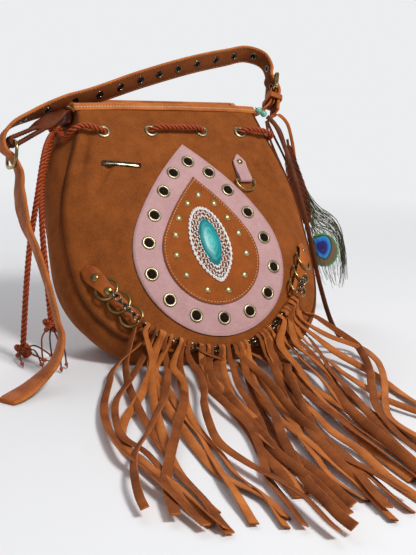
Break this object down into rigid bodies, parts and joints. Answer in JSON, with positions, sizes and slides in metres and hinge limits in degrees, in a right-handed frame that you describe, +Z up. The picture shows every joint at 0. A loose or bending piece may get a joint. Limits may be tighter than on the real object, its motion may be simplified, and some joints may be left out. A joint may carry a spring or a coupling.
{
  "type": "fringed suede bag",
  "caption": "Slouchy suede drawstring shoulder bag with a long fringe, a leather strap, and stone and feather trim.",
  "frame": {"origin": "centre of the flat base, at floor level", "axes": "+X to the viewer's right when facing the front, +Y to the back, +Z up"},
  "size_m": [0.5407, 0.6974, 0.3755],
  "materials": {
    "suede": "brushed nap, matte",
    "binding_leather": "smooth, satin",
    "dark_leather": "smooth, satin",
    "brass": "antique, darkened",
    "gunmetal": "dark, satin",
    "pink_suede": "brushed nap, matte",
    "tan_suede": "brushed nap, matte",
    "lace": "crochet cotton",
    "stone": "polished, banded",
    "silk": "twisted silk, glossy",
    "bead": "glossy, opaque",
    "feather": "natural feather"
  },
  "bodies": {
    "bag": {"front_panel": "suede", "back_panel": "suede", "gusset": "suede", "fringe_strip_1": "suede", "fringe_strip_2": "suede", "fringe_strip_3": "suede", "fringe_strip_4": "suede", "fringe_strip_5": "suede", "fringe_strip_6": "suede", "fringe_strip_7": "suede", "fringe_strip_8": "suede", "fringe_strip_9": "suede", "fringe_strip_10": "suede", "rim_binding": "binding_leather", "strap": "binding_leather", "left_chain_strap": "binding_leather", "right_chain_strap": "binding_leather", "right_anchor_tab": "dark_leather", "left_side_tab": "dark_leather", "charm_thong": "dark_leather", "rim_eyelet_front_1": "brass", "rim_eyelet_back_1": "brass", "rim_eyelet_front_2": "brass", "rim_eyelet_back_2": "brass", "rim_eyelet_front_3": "brass", "rim_eyelet_back_3": "brass", "rim_eyelet_front_4": "brass", "rim_eyelet_back_4": "brass", "pink_tab_rivet": "brass", "left_chain_ring_1": "brass", "left_chain_ring_2": "brass", "left_chain_ring_3": "brass", "right_chain_ring_1": "brass", "right_chain_ring_2": "brass", "right_chain_ring_3": "brass", "left_chain_rivet_1": "brass", "left_chain_rivet_2": "brass", "right_chain_rivet_1": "brass", "buckle_frame": "brass", "oval_ring": "brass", "fringe_chain": "gunmetal", "front_bar": "gunmetal", "teardrop_pink": "pink_suede", "pink_tab": "pink_suede", "teardrop_tan": "tan_suede", "lace_medallion": "lace", "turquoise_stone": "stone", "drawstring": "silk", "rope_end_front": "silk", "rope_end_rear": "silk", "charm_cord": "silk", "bead_1": "bead", "bead_2": "bead"},
    "d_ring": {"pink_tab_d_ring": "brass"},
    "prong": {"buckle_prong": "brass"},
    "keeper": {"keeper_loop": "dark_leather"},
    "feather": {"peacock_feather": "feather"},
    "leaf": {"leather_leaf": "dark_leather"}
  },
  "joints": [
    {"name": "d_ring_lift", "type": "hinge", "parent": "bag", "child": "d_ring", "pos_m": [0.07125, 0.03235, 0.19969], "axis": [-0.9979, -0.0505, 0.0401], "range_deg": [0, 150]},
    {"name": "prong_lift", "type": "hinge", "parent": "bag", "child": "prong", "pos_m": [0.174, 0.154, 0.302], "axis": [-0.0028, 0.7836, -0.6213], "range_deg": [0, 15]},
    {"name": "keeper_slide", "type": "slide", "parent": "bag", "child": "keeper", "axis": [0.3723, 0.5775, 0.7266], "range_m": [-0.004, 0.006]},
    {"name": "feather_swing", "type": "hinge", "parent": "bag", "child": "feather", "pos_m": [0.1514, 0.0965, 0.258], "axis": [-0.4632, -0.8862, 0], "range_deg": [0, 40]},
    {"name": "leaf_swing", "type": "hinge", "parent": "bag", "child": "leaf", "pos_m": [0.1632, 0.0844, 0.245], "axis": [-0.4632, -0.8862, 0], "range_deg": [0, 35]}
  ]
}
